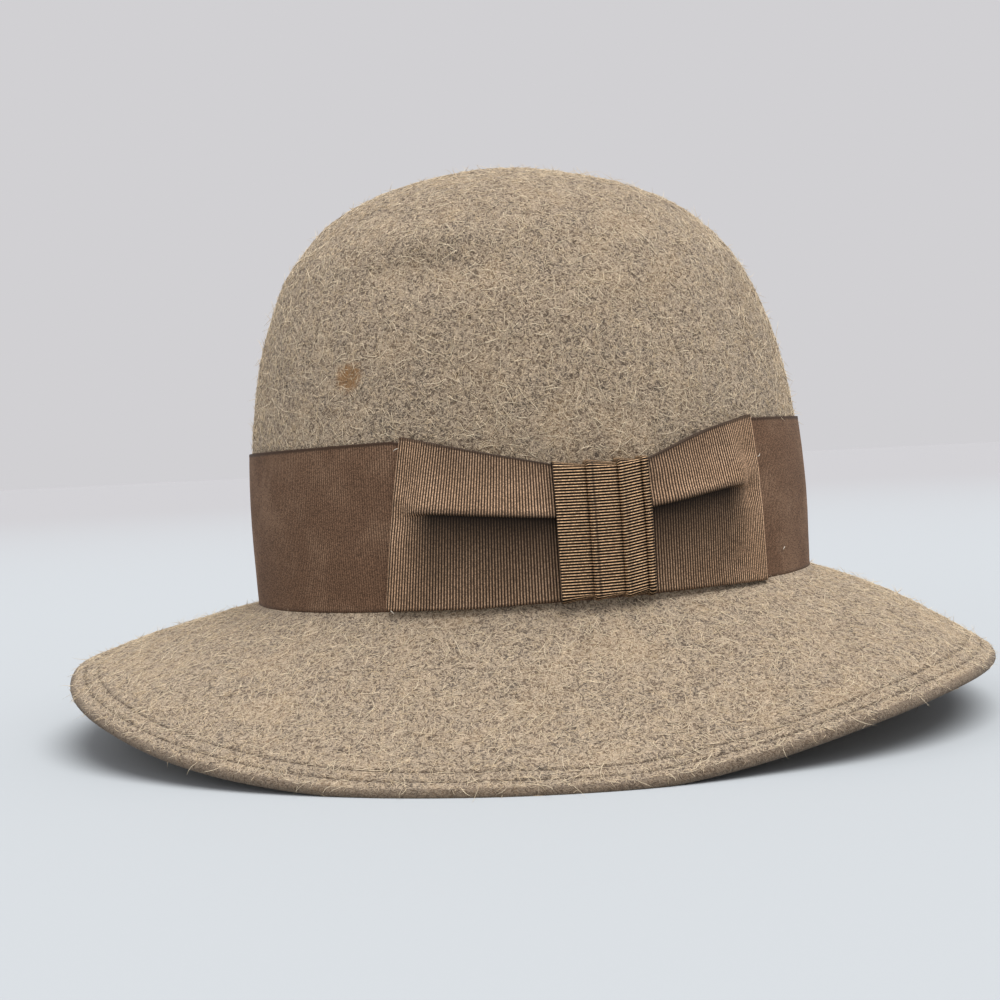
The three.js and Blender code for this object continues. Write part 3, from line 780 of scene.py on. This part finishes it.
knot = {
    "ribHeight": 0.17, "pitch": 0.895, "selvedgeWidth": 0, "shift": 1.0, "front": 6.5, "corner": 2.0,
    "backProud": 0.6, "footProud": 1.9,
    # edges of the pleats as shares of the width, and roll, run and hidden bend of each
    "lips": (0.355, 0.69, 0.945), "roll": (2.2, 2.2, 1.6), "runs": (2.0, 2.0, 1.2), "tight": [0.9] * 3,
    "bendPoints": 5, "tilt": 0.17, "firstTilt": 0.3,
    # places of a panel's points
    "panel": (0, 0.05, 0.1, 0.2, 0.35, 0.5, 0.6, 0.66, 0.70, 0.74, 0.78, 0.83, 1),
    # reach of the painted shade under an edge, width of its roll, and the painted dark line behind it:
    # shade, reach
    "lipReach": 0.75, "rollWidth": 1.25, "line": (0.7, 0.22),
    # climb of the ribs at shares of the width, and how much darker the top and bottom corners are
    "climb": ((0, 0.37, 0.69, 1), (0.35, 0, -0.1, 1.1)), "worn": (0.7, 0.35, 0.45), "darkest": 0.95,
}


# Section across the knot: panels that lean back, each under the next one's rolled edge.
def pleatedSection():
    width, tilt, n, noLip = bow["knotWidth"], knot["tilt"], knot["bendPoints"], 2.0
    rows = [(0, -tilt * knot["firstTilt"], 0, knot["lips"][0])]
    place, panel = 0.0, np.diff(knot["panel"])
    bends = (pi + tilt) * np.arange(1, n + 1) / n
    for lip, tight, run, roll in zip(knot["lips"], knot["tight"], knot["runs"], knot["roll"]):
        rows += [(span, -tilt, 0, lip) for span in (lip * width - place + run + roll / pi) * panel]
        rows += [(tight / n, bend - tilt, 1, lip) for bend in bends] + [(run, pi, 1, lip)]
        rows += [(roll / n, pi - bend, 0, noLip) for bend in bends]
        place = lip * width + roll / pi
    rows += [(span, -tilt, 0, noLip) for span in (width - place) * panel]
    spans, directions, hidden, lips = np.array(rows).T
    across, out, length = followFold(spans[1:], directions)
    across = across * width / across[-1]
    # painted shade: dark where a rolled edge lies over the panel, and in the line behind the roll
    before = np.maximum(lips * width - across, 0)
    shades = np.where(hidden, 1.0, fadeOut(before, 1, knot["lipReach"]))
    rolls = np.array(knot["lips"]) * width + knot["rollWidth"]
    behind = np.abs(across[:, None] - rolls).min(1)
    return across, out, length, np.maximum(shades, fadeOut(behind, *knot["line"]))


# Knot: the pleated section carried from the band over the bow's top, down its front and under.
def bowKnot(material):
    across, out, length, shades = pleatedSection()
    around = ribbon["gap"] + ribbon["thickness"] / 2
    foot, top = loopFoot * ribbon["width"] - around, loopTop * ribbon["width"] + around
    front, corner = knot["front"], knot["corner"]
    straightTop, straightFoot = front - corner - knot["backProud"], front - corner - knot["footProud"]
    tall, arc = top - foot - 2 * corner, corner * pi / 2
    ends = np.cumsum([straightTop, arc, tall, arc])
    travelled = np.arange(0, ends[3] + straightFoot, knot["pitch"] / ribbon["samplesPerRib"])
    turn = pi / 2 * (1 - np.clip((travelled - ends[0]) / arc, 0, 1)
                     - np.clip((travelled - ends[2]) / arc, 0, 1))
    onTop = np.minimum(travelled, ends[0])
    onFront = np.clip(travelled - ends[1], 0, tall)
    onFoot = np.maximum(travelled - ends[3], 0)
    proud = knot["backProud"] + onTop + corner * np.cos(turn) - onFoot
    height = top - corner + corner * np.sin(turn) - onFront
    # the last panel's ribs climb towards its edge
    shares, climbs = knot["climb"]
    climb = np.interp(across, np.array(shares) * bow["knotWidth"], climbs)
    turn = turn[:, None]
    raised = height[:, None] + out * np.sin(turn) + climb * np.cos(turn) ** 2
    place = proud[:, None] + out * np.cos(turn)
    lengths = knotPlace + knot["shift"] + bow["knotWidth"] / 2 - across + 0 * raised
    middle = bandPoint(lengths, raised, place)
    # the ribbon is darker where it turns over the top and bottom corners
    tone, start, reach = knot["worn"]
    worn = tone * smoothStep((np.abs(np.sin(turn)) - start) / reach)
    shade = np.maximum(shades, worn) * knot["darkest"]
    return ribbonStrip("bowKnot", "bow_knot", middle, travelled, np.tile(length, (len(travelled), 1)),
                       knot, material, (len(middle) // 2, 4), shade)


# Threads and fibres

# Many tapering hairs in one piece: rings round lines of points, smaller towards the tip.
def hairPiece(name, lines, radii, sides, capped, material):
    count, stops = lines.shape[:2]
    along = unit(np.gradient(lines, axis=1))
    helper = np.where(np.abs(along[..., 2:]) < 0.8, (0.0, 0.0, 1.0), (1.0, 0.0, 0.0))
    first = unit(np.cross(along, helper))
    second = np.cross(along, first)
    rings = stops if capped else stops - 1
    angles = 2 * pi * np.arange(sides) / sides
    spokes = (first[:, :rings, None] * np.cos(angles)[:, None]
              + second[:, :rings, None] * np.sin(angles)[:, None])
    points = (lines[:, :rings, None] + spokes * radii[:, :rings, None, None]).reshape(count, -1, 3)
    k, turn = np.arange(rings - 1)[:, None], np.arange(sides)
    after = (turn + 1) % sides
    a, b = k * sides + turn, k * sides + after
    walls = np.stack([a, b, b + sides, a + sides], -1).reshape(-1, 4)
    zeros, low, high = np.zeros(sides - 2, int), np.arange(1, sides - 1), np.arange(2, sides)
    tris = [np.stack([zeros, high, low], -1)]
    last = (rings - 1) * sides
    if capped:
        tris.append(last + np.stack([zeros, low, high], -1))
    else:
        points = np.concatenate([points, lines[:, -1:]], 1)
        tris.append(np.stack([last + turn, last + after, np.full(sides, rings * sides)], -1))
    shift = (np.arange(count) * points.shape[1])[:, None, None]
    quads = (walls + shift).reshape(-1, 4)
    triangles = (np.concatenate(tris) + shift).reshape(-1, 3)
    return finishPiece(makeMesh(name, points.reshape(-1, 3), quads, triangles), name, material)


# shape of the hairs, and where they grow
hairForm = {
    # the band's edge as shares of its width at the knot and beside it, and a margin
    "bandTop": (0.78, 0.22, 0.4), "atBreak": 0.3, "atEdge": 0.05,
    "taper": (1, 0.9, 0.65, 0.2), "thickness": (0.6, 1.2), "fibreThickness": (0.6, 1.3),
    "fibreLift": (0.2, 1), "shrink": 0.12, "arch": 0.12, "sunk": 0.05, "fibreSunk": 0.03, "lowest": 0.1,
}
# lengths, radius, rise of the tips, share and rise of strays; shortBias favours short ones
hairs = {
    "creamHairs": {"count": 11800, "shortest": 2.5, "longest": 8.0, "shortBias": 1.7,
                   "radius": 0.095, "curl": 1.3, "rise": 0.5, "stray": 0.2, "strayRise": 3.0,
                   "colour": (0.80, 0.67, 0.48), "roughness": 0.6, "seed": 5},
    "tanHairs": {"count": 9000, "shortest": 1.8, "longest": 5.0, "shortBias": 1.7,
                 "radius": 0.1, "curl": 1.2, "rise": 0.35, "stray": 0.14, "strayRise": 2.5,
                 "colour": (0.62, 0.485, 0.32), "roughness": 0.65, "seed": 8},
    "lightFibres": {"count": 38000, "shortest": 1.2, "longest": 3.0, "shortBias": 1, "radius": 0.115,
                    "rise": 0.25, "colour": (0.72, 0.575, 0.40), "roughness": 0.75, "seed": 6},
    "darkFibres": {"count": 13500, "shortest": 1.0, "longest": 2.6, "shortBias": 1, "radius": 0.125,
                   "rise": 0.14, "colour": (0.085, 0.059, 0.041), "roughness": 0.8, "seed": 7},
}


# Where hairs grow: not under the band, thinner at the break, almost none on the edge.
def openFelt(shape):
    weights = np.ones(shape["outside"].shape[:2])
    atKnot, beside, margin = hairForm["bandTop"]
    bandTop = ribbon["width"] * (atKnot + beside * outOnLoop(shape["turns"])) + margin
    rise = crownOutline(shape["alongs"])[0][:, None] * felt["crownHeight"]
    weights[:len(rise)] = rise > bandTop
    weights[len(rise)] = hairForm["atBreak"]
    weights[edgeRow:] = hairForm["atEdge"]
    return weights


# Roots of one kind of hair: a cell of the felt drawn by its area and weight, and a point in it by two
# shares. Returns places, normals, a direction along the felt and a length for each.
def hairRoots(values, shape, rng):
    grid, count = shape["outside"], values["count"]
    right, below = np.roll(grid, -1, 1), np.roll(grid, -1, 0)
    side, down = right - grid, below - grid
    area = np.linalg.norm(np.cross(side, down), axis=-1) * openFelt(shape)
    area[-1] = 0
    edges = np.cumsum(area.ravel())
    cells = np.searchsorted(edges, rng.random(count) * edges[-1])
    row, col = np.divmod(np.minimum(cells, area.size - 1), grid.shape[1])
    u, v = rng.random((2, count, 1))
    corner = below[row, (col + 1) % grid.shape[1]]
    place = (grid[row, col] * (1 - u) * (1 - v) + right[row, col] * u * (1 - v)
             + below[row, col] * (1 - u) * v + corner * u * v)
    normal, across = shape["normals"][row, col], unit(side[row, col])
    angle = rng.uniform(0, 2 * pi, (count, 1))
    ahead = across * np.cos(angle) + np.cross(normal, across) * np.sin(angle)
    share = rng.random((count, 1)) ** values["shortBias"]
    return place, normal, ahead, values["shortest"] + (values["longest"] - values["shortest"]) * share


# Long hairs: each lies on the felt, curls aside as the square of the way along, and lifts.
def longHairs(name, values, shape, material):
    rng = np.random.default_rng(values["seed"])
    place, normal, ahead, length = hairRoots(values, shape, rng)
    size = length.shape
    curl = rng.normal(0, values["curl"], size)
    stray = (rng.random(size) < values["stray"]) * values["strayRise"] * rng.random(size)
    lift = values["rise"] * rng.random(size) + stray
    t = np.linspace(0, 1, len(hairForm["taper"]))[:, None]
    place, normal, ahead, length, curl, lift = (
        value[:, None] for value in (place, normal, ahead, length, curl, lift))
    bent = curl * t ** 2 * length / 2
    forward = length * t * (1 - hairForm["shrink"] * np.abs(bent / length))
    upward = lift * t ** 1.5 + hairForm["arch"] * np.sin(pi * t) - hairForm["sunk"]
    lines = place + ahead * forward + np.cross(normal, ahead) * bent + normal * upward
    radii = values["radius"] * np.array(hairForm["taper"])
    radii = radii * rng.uniform(*hairForm["thickness"], (len(lines), 1))
    return hairPiece(name, notBelow(lines, hairForm["lowest"]), radii, 3, False, material)


# Short fibres: slim needles that lie almost flat on the felt.
def shortFibres(name, values, shape, material):
    rng = np.random.default_rng(values["seed"])
    place, normal, ahead, length = hairRoots(values, shape, rng)
    lift = values["rise"] * rng.uniform(*hairForm["fibreLift"], length.shape)
    tip = place + ahead * length + normal * lift
    lines = np.stack([place - normal * hairForm["fibreSunk"], tip], 1)
    radii = values["radius"] * rng.uniform(*hairForm["fibreThickness"], len(lines))
    return hairPiece(name, notBelow(lines, hairForm["lowest"]), np.stack([radii, 0 * radii], 1),
                     3, False, material)


# Closed ring of a grid's points between two of its rows.
def ringBetween(grid, exact):
    row = int(exact)
    part = exact - row
    ring = grid[row] * (1 - part) + grid[row + 1] * part
    return np.concatenate([ring, ring[:1]])


# Stitches: two rows of short threads that dip into the felt at both ends, above and below.
def stitches(material):
    values, lines = stitching, []
    t = np.linspace(0, 1, values["steps"] + 1)
    hump = values["radius"] * (np.sin(pi * t) * values["hump"] - 1.0) + values["proud"]
    under = felt["hemThickness"] - values["depth"] * values["pull"]
    for away, depth in ((1, values["depth"]), (-1, under)):
        for distance in values["rows"]:
            exact = edgeRow - distance * felt["hemRows"] / felt["hemWidth"]
            ring = ringBetween(shape["smooth"], exact)
            ups = unit(ringBetween(shape["normals"], exact))
            lengths = lengthsAlong(ring)
            number = int(lengths[-1] / (values["length"] + values["gap"]))
            at = (lengths[-1] * np.arange(number) / number)[:, None] + values["length"] * t
            place, up = (np.stack([np.interp(at, lengths, part) for part in line.T], -1)
                         for line in (ring, ups))
            lines.append(place + unit(up) * (away * hump - depth)[:, None])
    lines = notBelow(np.concatenate(lines), values["radius"])
    radii = np.full(lines.shape[:2], values["radius"])
    return hairPiece("brimStitches", lines, radii, values["sides"], True, material)


# Loose thread ends on the ribbons: length round the band, height, distance off it.
threads = {
    "places": [(-61.5, 50, 3.9), (-66.4, 0.4, 4.1), (59, 40, 1.4), (70, 9, 1.4)],
    "radius": 0.13, "length": 1.7, "tilt": 0.9, "bend": 1.2, "arch": 0.25,
    "colour": (0.62, 0.56, 0.47), "seed": 12,
}


def threadEnds(material):
    values = threads
    rng = np.random.default_rng(values["seed"])
    places = np.array(values["places"], float)
    t = np.linspace(-0.5, 0.5, 7)
    tilt = rng.uniform(-values["tilt"], values["tilt"], (len(places), 1))
    bend = rng.uniform(-values["bend"], values["bend"], (len(places), 1))
    lengths = knotPlace - places[:, :1] + values["length"] * t * np.cos(tilt)
    heights = places[:, 1:2] + values["length"] * (t * np.sin(tilt) + bend * t ** 2)
    proud = places[:, 2:] + values["arch"] * np.cos(pi * t)
    radii = values["radius"] * np.sqrt(np.maximum(1 - (1.8 * t) ** 2, 0.05)) * np.ones_like(tilt)
    return hairPiece("threadEnds", bandPoint(lengths, heights, proud), radii, 5, True, material)


# crest: partly wear, partly painted highlight; shadedValley: painted shade between the ribs
bowFinish = {
    "crest": (0.58, 0.385, 0.247), "shadedValley": (0.045, 0.028, 0.018), "worn": (0.70, 0.475, 0.315),
    "selvedge": (0.045, 0.027, 0.017), "roughness": 0.55, "crestFrom": (0.25, 1.0),
}
knotFinish = {
    "crest": (0.88, 0.575, 0.335), "shadedValley": (0.004, 0.003, 0.002), "worn": (0.94, 0.63, 0.37),
    "selvedge": (0.20, 0.13, 0.08), "roughness": 0.55, "crestFrom": (0.48, 1.0),
}

shape = feltGrid()
feltPiece(shape, feltMaterial())
print("felt body made")

bandPiece = hatBand(ribbonMaterial("bandBrown", band))
bowBrown = ribbonMaterial("bowBrown", bowFinish)
backPiece = bowLoop("bowLoopBack", "bow_loop_back", backLoop, bowBrown)
frontPiece = bowLoop("bowLoopFront", "bow_loop_front", frontLoop, bowBrown)
knotPiece = bowKnot(ribbonMaterial("knotBrown", knotFinish))
print("ribbons made")

stitches(plainMaterial("stitchThread", stitching["colour"], 0.8))
threadEnds(plainMaterial("whiteThread", threads["colour"], 0.8))
for name, values in hairs.items():
    grow = longHairs if "curl" in values else shortFibres
    grow(name, values, shape, plainMaterial(name[:-1], values["colour"], values["roughness"]))
print("stitches and hairs made")


# Floor and light

stage = {
    # the floor is lighter near the hat as painted light, and further off takes the backdrop's tone
    "floorSize": 40.0, "litNearColour": (0.449, 0.474, 0.491), "farColour": (0.409, 0.4055, 0.4157),
    # metres between which the floor fades into the backdrop
    "fade": (0.3, 3.5), "roughness": 0.9, "specular": 0.1,
    "world": (0.638, 0.631, 0.651),
    # for each light where it comes from, its power and its angle
    "lights": [((0.25, -0.28, 1.0), 3.1, 50), ((-0.6, -1.0, 0.5), 0.3, 40)],
}


def makeStage():
    corners = np.array([(-1, -1, 0), (1, -1, 0), (1, 1, 0), (-1, 1, 0)]) * stage["floorSize"] / 2
    mesh = makeMesh("floor", corners / mm, np.arange(4))
    floor = addObject("floor", mesh)
    material, tree, shader = newMaterial("paleFloor", stage["roughness"], stage["specular"])
    distance = tree.nodes.new("ShaderNodeVectorMath")
    distance.operation = "LENGTH"
    tree.links.new(tree.nodes.new("ShaderNodeTexCoord").outputs["Object"], distance.inputs[0])
    colour = blend(tree, spread(tree, distance.outputs["Value"], *stage["fade"]), stage["litNearColour"],
                   stage["farColour"])
    tree.links.new(colour, shader.inputs["Base Color"])
    mesh.materials.append(material)
    world = bpy.data.worlds.new("studio")
    world.use_nodes = True
    world.node_tree.nodes["Background"].inputs["Color"].default_value = (*stage["world"], 1)
    bpy.context.scene.world = world
    for number, (toward, power, angle) in enumerate(stage["lights"]):
        data = bpy.data.lights.new("softLight%d" % number, "SUN")
        data.energy = power
        data.angle = math.radians(angle)
        light = addObject(data.name, data)
        light.matrix_world = Vector(toward).to_track_quat("Z", "Y").to_matrix().to_4x4()
    bpy.context.scene.view_settings.view_transform = "Standard"


makeStage()
print("stage made")
